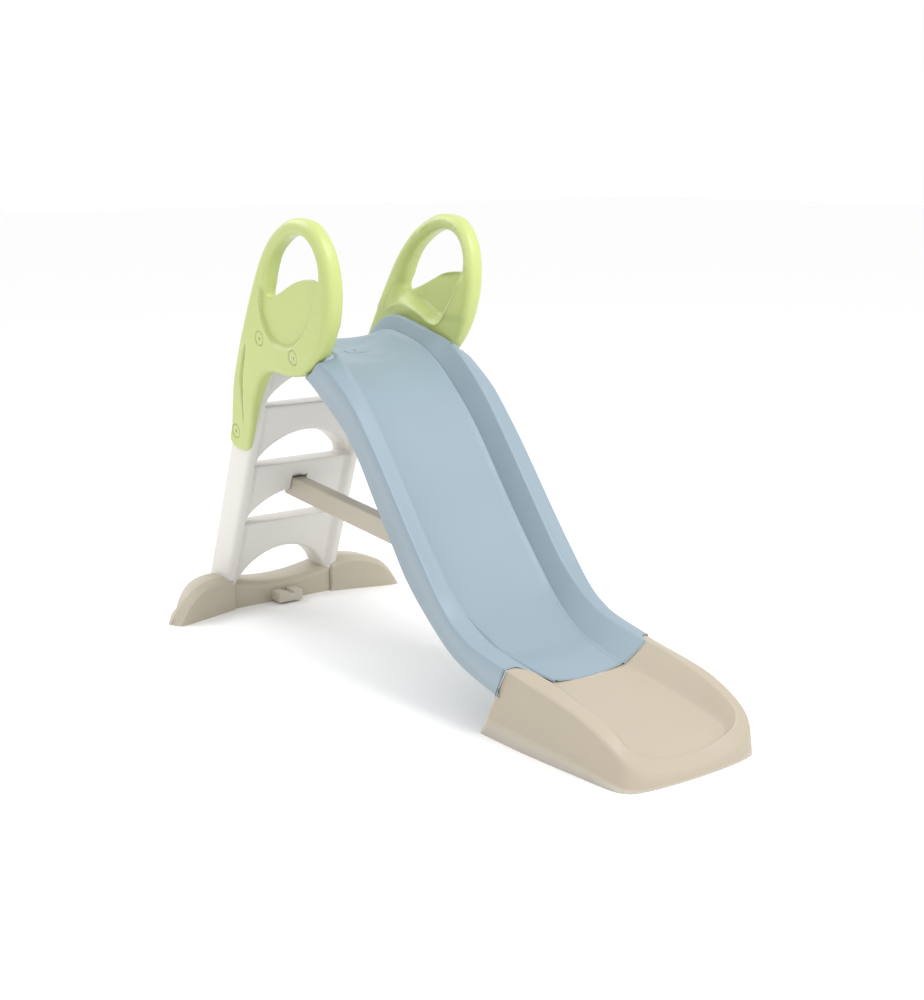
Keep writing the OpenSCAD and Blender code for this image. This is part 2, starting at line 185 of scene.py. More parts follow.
def relief(outline, holes, creases, front, back, rings=(0.5, 1.7, 3.8, 7.0, 11.0), step=8.0):
    """A plate seen in two axes (a, b) with a front and a back height.

    front and back take (a, b, d) with d the distance to the nearest edge. Returns rows of
    (a, b, height) and faces. creases are polylines that the mesh follows closely.
    """
    loops = [outline] + list(holes)

    def solid(p):
        keep = inside(p, outline)
        for h in holes:
            keep &= ~inside(p, h)
        return keep

    def edge_distance(p):
        return np.min([seg_distance(p, lp) for lp in loops], axis=0)

    points = list(loops)
    for lp in loops:
        tangent = np.roll(lp, -1, axis=0) - np.roll(lp, 1, axis=0)
        normal = np.column_stack([-tangent[:, 1], tangent[:, 0]])
        normal /= np.linalg.norm(normal, axis=1)[:, None]
        probe = solid(lp + normal * 0.3)
        normal[~probe] *= -1
        for k, r in enumerate(rings):
            cand = lp + normal * r
            cand = cand[::2] if k >= 3 else cand
            ok = solid(cand) & (edge_distance(cand) > r * 0.93)
            points.append(cand[ok])
    crease_points = []
    for c in creases:
        ok = solid(c) & (edge_distance(c) > 0.8)
        crease_points.append(c[ok])
    reach = rings[-1] + step * 0.6
    lo, hi = outline.min(0), outline.max(0)
    grid = []
    row = 0
    b = lo[1]
    while b < hi[1]:
        shift = step / 2 if row % 2 else 0
        grid += [(a, b) for a in np.arange(lo[0] + shift, hi[0], step)]
        b += step * 0.866
        row += 1
    grid = np.array(grid)
    ok = solid(grid)
    grid = grid[ok]
    grid = grid[edge_distance(grid) > reach]
    for c in crease_points:
        if len(c):
            near = np.full(len(grid), 1e9)
            for k in range(0, len(c), 400):
                gap = grid[:, None] - c[None, k:k + 400]
                near = np.minimum(near, np.sqrt((gap ** 2).sum(2)).min(1))
            grid = grid[near > step * 0.45]
    cloud = np.vstack(points + crease_points + [grid])
    edges = []
    base = 0
    for lp in loops:
        n = len(lp)
        edges += [(base + k, base + (k + 1) % n) for k in range(n)]
        base += n
    v, _, f, _, _, _ = delaunay_2d_cdt([Vector(p) for p in cloud], edges, [], 0, 1e-4)
    v = np.array([(q.x, q.y) for q in v])
    f = np.array(f)
    f = f[solid(v[f].mean(1))]
    used = np.unique(f)
    remap = -np.ones(len(v), int)
    remap[used] = np.arange(len(used))
    v, f = v[used], remap[f]
    d = edge_distance(v)
    d[d < 0.02] = 0
    top = np.column_stack([v, front(v[:, 0], v[:, 1], d)])
    low = np.column_stack([v, back(v[:, 0], v[:, 1], d)])
    n = len(v)
    count = {}
    for tri in f:
        for k in range(3):
            e = (tri[k], tri[(k + 1) % 3])
            count[tuple(sorted(e))] = count.get(tuple(sorted(e)), 0) + 1
    faces = [tuple(t) for t in f] + [tuple(t[::-1] + n) for t in f]
    for tri in f:
        for k in range(3):
            a, b = tri[k], tri[(k + 1) % 3]
            if count[tuple(sorted((a, b)))] == 1:
                faces.append((b, a, a + n, b + n))
    return np.vstack([top, low]), faces


def fillet_path(points, radii, steps=4):
    """Rounds the inner corners of a 3-D path; a radius of 0 keeps the corner."""
    out = [points[0]]
    for i in range(1, len(points) - 1):
        p, r = points[i], radii[i]
        if r <= 0:
            out.append(p)
            continue
        u = points[i - 1] - p
        w = points[i + 1] - p
        lu, lw = np.linalg.norm(u), np.linalg.norm(w)
        ru, rw = min(r, lu * 0.48), min(r, lw * 0.48)
        a, b = p + u / lu * ru, p + w / lw * rw
        for t in np.linspace(0, 1, steps + 1):
            out.append((1 - t) ** 2 * a + 2 * t * (1 - t) * p + t * t * b)
    out.append(points[-1])
    return np.array(out)


def loft(rows):
    """Joins equal open rows of points into faces."""
    n = len(rows[0])
    verts = np.vstack(rows)
    faces = []
    for i in range(len(rows) - 1):
        for j in range(n - 1):
            a = i * n + j
            faces.append((a, a + 1, a + n + 1, a + n))
    return verts, faces


def bevelled(name, lo, hi, width, material, body, turn=0.0, pivot=(0, 0, 0), taper=0.0, nodes=()):
    """A rounded block between two corners, in millimetres, turned about y at the pivot."""
    bm = bmesh.new()
    bmesh.ops.create_cube(bm, size=1.0)
    lo, hi = np.array(lo, float), np.array(hi, float)
    for v in bm.verts:
        c = (np.array(v.co) + 0.5) * (hi - lo) + lo
        if taper and v.co.x > 0:
            mid = (lo + hi) / 2
            c[1:] = mid[1:] + (c[1:] - mid[1:]) * (1 - taper)
        v.co = Vector(c / 1000.0)
    bmesh.ops.bevel(bm, geom=list(bm.edges), offset=width / 1000.0, segments=4, profile=0.5,
                    affect="EDGES")
    mesh = bpy.data.meshes.new(name)
    bm.to_mesh(mesh)
    bm.free()
    s, c = math.sin(turn), math.cos(turn)
    for v in mesh.vertices:
        x, z = v.co.x - pivot[0] / 1000, v.co.z - pivot[2] / 1000
        v.co.x = x * c + z * s + pivot[0] / 1000 - MID / 1000
        v.co.z = -x * s + z * c + pivot[2] / 1000
    for poly in mesh.polygons:
        poly.use_smooth = True
    obj = bpy.data.objects.new(name, mesh)
    bpy.context.collection.objects.link(obj)
    obj.data.materials.append(material)
    sharpen(obj, 50)
    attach(obj, body)
    if nodes:
        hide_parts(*nodes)
    return obj


# ---------- materials ----------

def plastic(name, colour, rough=0.38, grain=0.12, wave=0.05, tone=0.05, coat=0.0,
            warm=(1.0, 1.0, 1.0), edge_highlight=0.35):
    """Moulded plastic: colour drift, fine grain, slow waviness, uneven gloss, painted highlight on edges.

    The last argument sets the painted highlight paling convex edges. Grooves get a fixed painted shade.
    """
    mat = bpy.data.materials.new(name)
    mat.use_nodes = True
    nt = mat.node_tree
    bsdf = nt.nodes["Principled BSDF"]
    coord = nt.nodes.new("ShaderNodeTexCoord")

    def noise(scale, detail, rough_=0.5):
        n = nt.nodes.new("ShaderNodeTexNoise")
        n.inputs["Scale"].default_value = scale
        n.inputs["Detail"].default_value = detail
        n.inputs["Roughness"].default_value = rough_
        nt.links.new(coord.outputs["Object"], n.inputs["Vector"])
        return n

    drift = noise(3.2, 3.0)
    ramp = nt.nodes.new("ShaderNodeValToRGB")
    low = [c * (1 - tone) for c in colour]
    high = [min(1.0, c * (1 + tone) * w) for c, w in zip(colour, warm)]
    ramp.color_ramp.elements[0].position = 0.3
    ramp.color_ramp.elements[0].color = (*low, 1)
    ramp.color_ramp.elements[1].position = 0.7
    ramp.color_ramp.elements[1].color = (*high, 1)
    nt.links.new(drift.outputs["Fac"], ramp.inputs["Fac"])
    speck = noise(260.0, 2.0)
    mix = nt.nodes.new("ShaderNodeMixRGB")
    mix.blend_type = "MULTIPLY"
    mix.inputs["Fac"].default_value = 0.05
    nt.links.new(ramp.outputs["Color"], mix.inputs["Color1"])
    nt.links.new(speck.outputs["Fac"], mix.inputs["Color2"])
    bend = nt.nodes.new("ShaderNodeNewGeometry")
    # painted highlight: convex edges found by pointiness are screened paler, standing in for light on the
    # edges
    edge = nt.nodes.new("ShaderNodeMapRange")
    edge.inputs["From Min"].default_value = 0.52
    edge.inputs["From Max"].default_value = 0.58
    edge.inputs["To Max"].default_value = edge_highlight
    nt.links.new(bend.outputs["Pointiness"], edge.inputs["Value"])
    painted_highlight = nt.nodes.new("ShaderNodeMixRGB")
    painted_highlight.blend_type = "SCREEN"
    painted_highlight.inputs["Color2"].default_value = (0.75, 0.75, 0.74, 1)
    nt.links.new(edge.outputs["Result"], painted_highlight.inputs["Fac"])
    nt.links.new(mix.outputs["Color"], painted_highlight.inputs["Color1"])
    # painted shade: concave creases found by pointiness are darkened, standing in for shade in the
    # creases
    crease_shade = nt.nodes.new("ShaderNodeMapRange")
    crease_shade.inputs["From Min"].default_value = 0.49
    crease_shade.inputs["From Max"].default_value = 0.4
    crease_shade.inputs["To Max"].default_value = 0.35
    nt.links.new(bend.outputs["Pointiness"], crease_shade.inputs["Value"])
    shaded = nt.nodes.new("ShaderNodeMixRGB")
    shaded.blend_type = "MULTIPLY"
    shaded.inputs["Color2"].default_value = (0.3, 0.3, 0.3, 1)
    nt.links.new(crease_shade.outputs["Result"], shaded.inputs["Fac"])
    nt.links.new(painted_highlight.outputs["Color"], shaded.inputs["Color1"])
    nt.links.new(shaded.outputs["Color"], bsdf.inputs["Base Color"])
    gloss = noise(22.0, 4.0, 0.6)
    span = nt.nodes.new("ShaderNodeMapRange")
    span.inputs["From Min"].default_value = 0.3
    span.inputs["From Max"].default_value = 0.7
    span.inputs["To Min"].default_value = rough - 0.05
    span.inputs["To Max"].default_value = rough + 0.07
    nt.links.new(gloss.outputs["Fac"], span.inputs["Value"])
    nt.links.new(span.outputs["Result"], bsdf.inputs["Roughness"])
    fine = noise(950.0, 2.0)
    b1 = nt.nodes.new("ShaderNodeBump")
    b1.inputs["Strength"].default_value = grain
    b1.inputs["Distance"].default_value = 0.0004
    nt.links.new(fine.outputs["Fac"], b1.inputs["Height"])
    slow = noise(14.0, 1.0)
    b2 = nt.nodes.new("ShaderNodeBump")
    b2.inputs["Strength"].default_value = wave
    b2.inputs["Distance"].default_value = 0.004
    nt.links.new(slow.outputs["Fac"], b2.inputs["Height"])
    nt.links.new(b1.outputs["Normal"], b2.inputs["Normal"])
    nt.links.new(b2.outputs["Normal"], bsdf.inputs["Normal"])
    bsdf.inputs["IOR"].default_value = 1.5
    bsdf.inputs["Specular IOR Level"].default_value = 0.42
    bsdf.inputs["Coat Weight"].default_value = coat
    bsdf.inputs["Coat Roughness"].default_value = 0.25
    return mat


def metal(name, colour, rough):
    mat = bpy.data.materials.new(name)
    mat.use_nodes = True
    nt = mat.node_tree
    bsdf = nt.nodes["Principled BSDF"]
    coord = nt.nodes.new("ShaderNodeTexCoord")
    brush = nt.nodes.new("ShaderNodeTexNoise")
    brush.inputs["Scale"].default_value = 420.0
    nt.links.new(coord.outputs["Object"], brush.inputs["Vector"])
    span = nt.nodes.new("ShaderNodeMapRange")
    span.inputs["To Min"].default_value = rough - 0.08
    span.inputs["To Max"].default_value = rough + 0.12
    nt.links.new(brush.outputs["Fac"], span.inputs["Value"])
    nt.links.new(span.outputs["Result"], bsdf.inputs["Roughness"])
    bump = nt.nodes.new("ShaderNodeBump")
    bump.inputs["Strength"].default_value = 0.15
    bump.inputs["Distance"].default_value = 0.0002
    nt.links.new(brush.outputs["Fac"], bump.inputs["Height"])
    nt.links.new(bump.outputs["Normal"], bsdf.inputs["Normal"])
    bsdf.inputs["Base Color"].default_value = (*colour, 1)
    bsdf.inputs["Metallic"].default_value = 1.0
    return mat


def srgb(hexcode):
    out = []
    for k in (0, 2, 4):
        c = int(hexcode[k:k + 2], 16) / 255
        out.append(c / 12.92 if c <= 0.04045 else ((c + 0.055) / 1.055) ** 2.4)
    return tuple(out)


LIME = plastic("lime_plastic", srgb("B8C47A"), rough=0.36, tone=0.03, coat=0.12)
BLUE = plastic("blue_grey_plastic", srgb("8A9BA6"), rough=0.42, tone=0.03, edge_highlight=0.15)
WHITE = plastic("warm_white_plastic", srgb("DAD7D1"), rough=0.4, tone=0.015)
BEIGE = plastic("beige_plastic", srgb("B6AD9B"), rough=0.45, tone=0.03)
SAND = plastic("sand_plastic", srgb("AEA493"), rough=0.45, tone=0.025, warm=(1.0, 0.99, 0.97))
FITTING = plastic("fitting_plastic", srgb("8697A3"), rough=0.4)
DARK = plastic("bearing_plastic", srgb("44464A"), rough=0.45)
RUBBER = plastic("seal_rubber_mat", srgb("202022"), rough=0.7, grain=0.3)
STEEL = metal("zinc_steel", (0.62, 0.63, 0.66), 0.34)

SLOT_MATERIAL = {
    "chute_plastic": BLUE, "handle_plastic": LIME, "ladder_plastic": WHITE, "base_plastic": BEIGE,
    "exit_plastic": SAND, "steel": STEEL, "dark_plastic": DARK, "fitting_plastic": FITTING,
    "seal_rubber": RUBBER,
}
for part in frame["record"]["subparts"]:
    node = bpy.data.objects.get(part["node"])
    if node is not None:
        node.data.materials.clear()
        node.data.materials.append(SLOT_MATERIAL[part["material_slot"]])

# ---------- chute ----------

# Side view lines as (x, z) points: rail top, outer shoulder and lower edge of the wall. The bed's
# corner and middle are given as drops below the rail top.
CREST = [(234, 816), (270, 840), (306, 856), (351, 862), (403, 854), (462, 841), (525, 825), (585, 803),
         (666, 745), (744, 670), (827, 571), (961, 402), (1030, 319), (1073, 279), (1123, 242),
         (1179, 212), (1234, 198), (1310, 183), (1400, 172)]
SHOULDER = [(503, 735), (509, 742), (531, 755), (562, 783), (585, 778), (612, 767), (703, 705),
            (755, 653), (826, 573), (960, 407), (1029, 325), (1099, 249), (1160, 212), (1201, 199),
            (1256, 188), (1318, 177)]
LOWER = [(234, 746), (450, 746), (508, 737), (583, 693), (676, 630), (743, 563), (806, 477), (878, 384),
         (937, 308), (1027, 228), (1132, 157), (1273, 112), (1345, 100)]
CORNER_DROP = [(234, 28), (326, 40), (460, 38), (520, 45), (600, 64), (700, 74), (860, 82), (1016, 64),
               (1150, 46), (1370, 38)]
MIDDLE_DROP = [(234, 20), (326, 78), (390, 77), (460, 74), (520, 70), (600, 76), (700, 86), (860, 94),
               (1016, 76), (1150, 56), (1370, 47)]
BED_HALF = [(234, 150), (1000, 146), (1150, 128), (1345, 107), (1380, 104)]
DECK_HALF = 178.5
WALL_HALF = 224.0
SHELL = 0.0042


def chute_section(xi, xr, xs, xw, out, start=0.0):
    """Top points from the middle to the wall's lower edge, for one half.

    start is 1 at the rail's rear end, which leans around the handle's disc, and 0 beyond it.
    """
    # past the deck's plain wall the outer edge follows the shoulder and no longer the rail
    wide = out > DECK_HALF + 0.5
    rail = float(along(CREST, xi))
    corner = rail - float(along(CORNER_DROP, xi))
    middle = rail - float(along(MIDDLE_DROP, xi))
    bh = float(along(BED_HALF, xi))
    shoulder = float(along(SHOULDER, xs)) if wide else float(along(CREST, xs))
    inner = 163.5 + 13.0 * ease((xi - 470) / 75)
    low = float(along(LOWER, xw))
    bed = []
    for k in range(13):
        y = (bh - 9) * k / 12
        z = middle + (corner + 1.6 - middle) * (y / bh) ** 2.2
        bed.append((xi, y, z))
    step = [(xi, bh - 6, corner + 2.2), (xi, bh - 3.6, corner + 2.4), (xi, bh - 1.6, corner + 0.6),
            (xi, bh - 0.3, corner - 1.4)]
    knee_y = inner + (7.7 + 8 * ease((xi - 560) / 80) if wide else 5.0)
    knee = float(along(CREST, xr)) if wide else rail
    half_way = (np.array([xr, knee_y, knee]) + (xs, out, shoulder)) / 2
    half_way = half_way * (1 - start) + np.array([579, 206, 791]) * start
    path = np.array([(xi, bh, corner - 1.6), (xi, inner, rail), (xr, knee_y, knee), half_way,
                     (xs, out, shoulder), (xw, out + (1.5 if wide else 0), low)])
    path = np.vstack([[step[-1]], path])
    rounded = fillet_path(path, [0, 8, 4, 6, 12, 5, 0], 4)
    hang = np.array(rounded[-1])
    under = [hang + (0, -1.2, -0.6), hang + (0, -4.2, 0.2), hang + (0, -5.0, 6.0)]
    return np.vstack([bed, step[:-1], rounded, under])


def rail_lead(x):
    """How far the rail's top runs ahead of the bed near the deck."""
    return 42 * max(0.0, 1 - (x - 550) / 260)


def wall_lag(x):
    """How far the wall's lower edge trails behind the bed near the deck."""
    return 44 * max(0.0, 1 - (x - 552) / 308)


def chute_rows():
    """Sections from the deck's rear edge to the exit: deck, widening, start of the rails, glide, end."""
    rows = [chute_section(x, x, x, x, DECK_HALF) for x in np.arange(234, 490, 6.0)]
    for t in np.linspace(0, 1, 11):
        xi = 490 + 55 * t
        ahead = xi + 40 * t ** 1.4
        rows.append(chute_section(xi, ahead, ahead, 490 + 10 * t, DECK_HALF + 6 * t))
    for t in np.linspace(0, 1, 10):
        xi = 547 + 8 * t
        rows.append(chute_section(xi, 562 + 34 * t, 506 + 57 * t, 503 + 12 * t, WALL_HALF, (1 - t) ** 2))
    for x in np.arange(561, 1300, 6.5):
        fade = max(0.0, x - 1100) / 40
        blend = ease((x - 1200) / 90)
        xs = x + 9 - blend * 9
        xw = x - wall_lag(x) - 14 * blend
        rows.append(chute_section(x, x + rail_lead(x), xs, xw, WALL_HALF - fade))
    for t in np.linspace(0, 1, 7)[1:]:
        xi = 1297.5 + (1345 - 1297.5) * t
        rows.append(chute_section(xi, 1297.5 + 14.5 * t, 1297.5 + 8.5 * t, 1268 + 5 * t, 219.0))
    return rows


def mirror_rows(rows):
    full = []
    for r in rows:
        left = r[:0:-1].copy()
        left[:, 1] *= -1
        full.append(np.vstack([left, r]))
    return full


rows = chute_rows()
lip = rows[0] - (1.0, 0, 2.5)
skirt = lip.copy()
skirt[:, 2] = np.minimum(lip[:, 2], 752)
last = rows[-1] - (1.2, 0, 1.5)
rows = [skirt, lip] + rows + [last]
verts, faces = loft(mirror_rows(rows))
chute = new_object("chute_shell", metres(verts), faces, BLUE, "chute_body", ("chute",))
thick = chute.modifiers.new("thickness", "SOLIDIFY")
thick.thickness = SHELL
thick.offset = -1.0


def rod(name, at, radius, y0, y1, material, body):
    """A round bar across the slide, with softened rims."""
    rows = []
    for y, r in ((y0, radius - 1.2), (y0 + 1.2, radius), (y1 - 1.2, radius), (y1, radius - 1.2)):
        ring = circle(at, r, 48)
        rows.append(np.column_stack([ring[:, 0], np.full(len(ring), y), ring[:, 1]]))
    n = len(rows[0])
    faces = [(i * n + j, i * n + (j + 1) % n, (i + 1) * n + (j + 1) % n, (i + 1) * n + j)
             for i in range(len(rows) - 1) for j in range(n)]
    faces += [tuple(range(n)), tuple(range(3 * n, 4 * n))[::-1]]
    obj = new_object(name, metres(np.vstack(rows)), faces, material, body)
    sharpen(obj, 50)
    return obj


for side, label in ((-1, "left"), (1, "right")):
    ends = sorted((side * 165.0, side * 173.5))
    rod(label + "_hinge_boss", (385, 805), 22, ends[0], ends[1], BLUE, "chute_body")

# Two cheeks under the chute with a hook slot that opens forwards and down
HOOK = (920.0, 289.0)
slot_dir = np.array([math.sin(math.radians(29)), -math.cos(math.radians(29))])
slot_side = np.array([slot_dir[1], -slot_dir[0]])
SLOT_R = 6.5
SLOT_LONG = 24
arc = [HOOK + SLOT_R * (np.cos(t) * slot_side - np.sin(t) * slot_dir)
       for t in np.radians(np.arange(0, 181, 20))]
cheek = np.vstack([[(888, 386), (888, 300), (905, 272)],
                   [HOOK + slot_dir * SLOT_LONG + slot_side * SLOT_R], arc,
                   [HOOK + slot_dir * SLOT_LONG - slot_side * SLOT_R], [(952, 300), (952, 322)]])
for side, label in ((-1, "left"), (1, "right")):
    cv, cf = relief(even(cheek, 3.0, True), [], [], lambda a, b, d: 30 - round_over(d, 1.0),
                    lambda a, b, d: 23 + round_over(d, 1.0), rings=(0.4, 1.2, 3.0, 6.0), step=8.0)
    v = np.column_stack([cv[:, 0], cv[:, 2] * side, cv[:, 1]])
    new_object(label + "_hook_cheek", metres(v), cf, BLUE, "chute_body")

# ---------- exit ----------

# From the chute to the nose: bed middle (x, z), then rim and shoulder (x, y, z), then foot line (x, y)
STATIONS = [
    ((1347.5, 130), (1314, 178, 181), (1308, 216, 177), (1212, 214)),
    ((1372, 125), (1345, 178, 179), (1338, 216, 171), (1270, 215)),
    ((1412, 118), (1392, 178, 174), (1386, 216, 163), (1345, 216)),
    ((1468, 107), (1456, 177, 160), (1452, 215, 154), (1430, 214)),
    ((1528, 93), (1522, 175, 144), (1520, 213, 141), (1510, 210)),
    ((1580, 78), (1576, 172, 128), (1578, 210, 120), (1574, 207)),
    ((1616, 65), (1614, 171, 111), (1620, 206, 99), (1620, 205)),
    ((1634, 56), (1638, 168, 94), (1652, 196, 78), (1657, 199)),
    ((1646, 49), (1656, 146, 72), (1674, 176, 54), (1679, 181)),
    ((1654, 44), (1661, 98, 53), (1686, 138, 34), (1691, 139)),
    ((1659, 41), (1662, 48, 43), (1691, 72, 25), (1698, 74)),
    ((1661, 40), (1662, 0, 41.5), (1692, 0, 23), (1700, 0)),
]


def exit_rows():
    def with_mirror(k, axis):
        line = [list(s[k]) for s in STATIONS]
        beyond = list(line[-2])
        if axis is not None:
            beyond[axis] *= -1
        return catmull(line + [beyond], False, 8)[:-8]

    m, r, o, f = with_mirror(0, None), with_mirror(1, 1), with_mirror(2, 1), with_mirror(3, 1)
    out = []
    for i in range(len(m)):
        t = i / (len(m) - 1)
        mid, rim, sh, foot = m[i], r[i], o[i], f[i]
        yb = rim[1] * (0.62 + 0.2 * ease(t * 1.4))
        drop = rim[2] - mid[1]
        corner = mid[1] + 0.14 * drop
        row = []
        for k in range(12):
            u = k / 12
            y = yb * u
            x = mid[0] + (rim[0] - mid[0]) * (y / max(rim[1], 0.01)) ** 2
            row.append((x, y, mid[1] + (corner - mid[1]) * u ** 2.2))
        xb = mid[0] + (rim[0] - mid[0]) * (yb / max(rim[1], 0.01)) ** 2
        bulge = 0.6 * min(1, rim[1] / 30)
        side = (sh[0] * 0.35 + foot[0] * 0.65, (sh[1] + foot[1]) / 2 + bulge, sh[2] * 0.35)
        path = np.array([row[-1], (xb, yb, corner), tuple(rim), tuple(sh), side, (foot[0], foot[1], 0.0)])
        soft = 4.0 + t
        rounded = fillet_path(path, [0, 22, soft, 9 + 6 * ease(t * 1.2), 12, 0], 6)
        out.append(np.vstack([row[:-1], rounded]))
    return out


rows = exit_rows()
start = rows[0].copy()
start[:, 0] -= 7
start[:, 1] *= 0.972
start[:, 2] = np.maximum(start[:, 2] - 7, 0)
rows = [start] + rows
verts, faces = loft(mirror_rows(rows))
verts[:, 2] = np.maximum(verts[:, 2], 0.0)
exit_shell = new_object("exit_shell", metres(verts), faces, SAND, "chute_body",
                        ("chute_exit",))
wall = exit_shell.modifiers.new("thickness", "SOLIDIFY")
wall.thickness = 0.004
wall.offset = -1.0
bevelled("exit_tongue", (1298, -88, 100.5), (1352, 88, 107.5), 1.5, SAND, "chute_body")
bevelled("exit_riser", (1348.5, -88, 100.5), (1353, 88, 124), 1.5, SAND, "chute_body")

# ---------- handles ----------

# Outlines in side view as (x, z) points: the moulding, the dished well and the hole on its outer
# face, the bowl on its inner face, the screw recesses and the groove in the tail
RING = [(50, 522), (62, 552), (86, 612), (114, 677), (153, 757), (194, 837), (231, 903), (269, 965),
        (299, 1010), (333, 1052), (375, 1090), (425, 1119), (475, 1136), (523, 1137), (567, 1127),
        (602, 1100), (628, 1060), (641, 1010), (643, 955), (631, 895), (606, 840), (570, 795),
        (528, 762), (485, 742), (440, 733), (390, 731), (342, 735), (300, 728), (267, 706), (240, 675),
        (212, 635), (187, 582), (167, 538), (153, 508), (138, 494), (112, 489), (76, 494), (54, 506)]
WELL = [(304, 929), (306, 886), (326, 843), (361, 814), (414, 804), (472, 820), (523, 857), (564, 905),
        (587, 950), (598, 995), (597, 1032), (580, 1066), (548, 1090), (506, 1099), (456, 1089),
        (408, 1062), (362, 1020), (322, 972)]
HOLE = [(331, 941), (341, 974), (357, 1008), (381, 1040), (418, 1068), (460, 1089), (506, 1098),
        (548, 1089), (579, 1065), (596, 1031), (598, 997), (588, 983), (556, 989), (518, 987),
        (478, 978), (440, 964), (405, 949), (372, 936), (344, 928)]
BOWL = [(262, 868), (300, 884), (345, 892), (388, 884), (432, 866), (470, 850), (502, 850), (530, 872),
        (556, 905), (580, 942), (598, 985), (597, 1032), (580, 1066), (548, 1090), (506, 1099),
        (456, 1089), (408, 1062), (362, 1020), (322, 972), (290, 930), (262, 890)]
SCREWS = [(295, 821), (456, 786), (90, 543)]
GROOVE = [(216, 800), (198, 776), (174, 730), (156, 684), (140, 574), (150, 610), (164, 660), (188, 726),
          (212, 778)]

ring_loop = smooth_loop(RING, 4.0)
well_loop = smooth_loop(WELL, 3.5)
hole_loop = smooth_loop(HOLE, 3.5)
bowl_loop = smooth_loop(BOWL, 3.5)
groove_loop = smooth_loop(GROOVE, 3.5)


def offset_loop(loop, d):
    tangent = np.roll(loop, -1, axis=0) - np.roll(loop, 1, axis=0)
    normal = np.column_stack([-tangent[:, 1], tangent[:, 0]])
    normal /= np.linalg.norm(normal, axis=1)[:, None]
    return loop + normal * d


def signed(points, loop):
    d = seg_distance(points, loop)
    return np.where(inside(points, loop), d, -d)


def outer_plane(z):
    """Distance of the handle's outer face from the centre plane at height z."""
    return np.interp(z, [480, 560, 700, 800, 960, 1140], [194, 199, 222, 234, 243, 254])


def inner_plane(z):
    """Distance of the handle's inner face from the centre plane at height z."""
    return np.interp(z, [480, 700, 712, 862, 880, 1010, 1140], [181, 186, 189.2, 189.2, 186, 192, 203])


def web_top(a):
    """Height where the ring leaves the web that closes the disc."""
    return np.interp(a, [250, 345, 600, 660], [952, 972, 1012, 1015])


def handle_front(a, b, d):
    """Outer face: rounded rim, dished well, screw recesses and groove, with a = x and b = z."""
    p = np.column_stack([a, b])
    ringy = ease((b - 640) / 220)
    r = 9 + 15 * ringy
    y = outer_plane(b) - round_over(d, r, r * 0.92)
    w = signed(p, well_loop)
    web = outer_plane(b) - 9.5
    bead = 1.2 * np.exp(-((w + 1.0) / 2.2) ** 2)
    mix = ease((w + 0.5) / 6.5)
    hole_d = seg_distance(p, hole_loop)
    near_hole = hole_d < seg_distance(p, ring_loop)
    y = np.where(near_hole, outer_plane(b) - round_over(d, 12), y)
    web_y = web - round_over(hole_d, 3.0)
    below = ease((web_top(a) - b) / 22.0)
    mix = mix * below * (w > -0.5)
    y = y * (1 - mix) + web_y * mix + bead * below
    for c in SCREWS:
        q = np.hypot(a - c[0], b - c[1])
        y -= 4.0 * np.exp(-((q - 19) / 1.7) ** 2)
        y -= 1.0 * ease((17 - q) / 3.0)
        y -= 5.0 * ease((4.8 - q) / 1.6)
    g = signed(p, groove_loop)
    y -= 9.0 * ease((g + 1.0) / 3.5)
    return y


def handle_back(a, b, d):
    """Inner face: flat where it meets ladder and chute, with a soft bowl behind the well."""
    p = np.column_stack([a, b])
    ringy = ease((b - 720) / 200)
    r = 3 + 18 * ringy
    y = inner_plane(b) + round_over(d, r, r * 0.92)
    w = signed(p, bowl_loop)
    hole_d = seg_distance(p, hole_loop)
    web_y = outer_plane(b) - 19.0 + round_over(hole_d, 3.0)
    mix = ease((w + 1.0) / 30.0)
    steep = ease((a - 500) / 60)
    mix = mix * (1 - steep) + ease((w + 1.0) / 11.0) * steep
    near_hole = hole_d < seg_distance(p, ring_loop)
    y = np.where(near_hole & (b > 860), inner_plane(b) + round_over(d, 30, 20), y)
    ridge = 2.0 * np.exp(-((w + 2.0) / 3.0) ** 2)
    below = ease((web_top(a) - b) / 22.0)
    mix = mix * below * (w > -1.0) * ease((a - 290) / 130)
    return y * (1 - mix) + web_y * mix - ridge * below * (b > 800)


handle_creases = [offset_loop(well_loop, d) for d in (0.0, 3.0, -3.0, 6.0, -6.0)]
handle_creases += [offset_loop(bowl_loop, d) for d in (0.0, 4.0, -4.0, 9.0, -9.0)]
handle_creases += [offset_loop(groove_loop, d) for d in (0.0, 2.5, -2.5)]
for c in SCREWS:
    for r in (1.5, 3.2, 4.6, 6, 9, 12, 15, 17, 18, 19, 20, 21.5, 24):
        handle_creases.append(circle(c, r, max(8, int(r * 2.2))))

hv, hf = relief(ring_loop, [hole_loop], handle_creases, handle_front, handle_back,
                rings=(0.4, 1.4, 3.2, 6.0, 10.0, 15.0, 21.0), step=7.0)
for side, label in ((-1, "left"), (1, "right")):
    v = np.column_stack([hv[:, 0], hv[:, 2] * side, hv[:, 1]])
    new_object(label + "_handle_shell", metres(v), hf, LIME, "ladder_body",
               (label + "_handle",))

# ---------- ladder ----------

LEAN = 0.375


def front_x(z):
    """Front plane of the leaning ladder at height z."""
    return -38 + LEAN * z


def arch_top(sill, half, apex):
    """Round top of an opening, as (y, z) points."""
    rise = apex - sill
    r = (half * half + rise * rise) / (2 * rise)
    reach = math.asin(min(1.0, half / r))
    if rise > half:
        reach = math.pi - reach
    turns = np.linspace(-reach * 0.965, reach * 0.965, 60)
    return [(r * math.sin(t), apex - r + r * math.cos(t)) for t in turns]


def arch(sill, half, apex, corner=7.0):
    """Opening with a level sill and a round top, as (y, z) points."""
    pts = arch_top(sill, half, apex)
    pts.append((half - 1.5, sill + 3.5))
    pts.append((half - corner, sill))
    pts.append((-half + corner, sill))
    pts.append((-half + 1.5, sill + 3.5))
    return even(np.array(pts), 5.0, True)


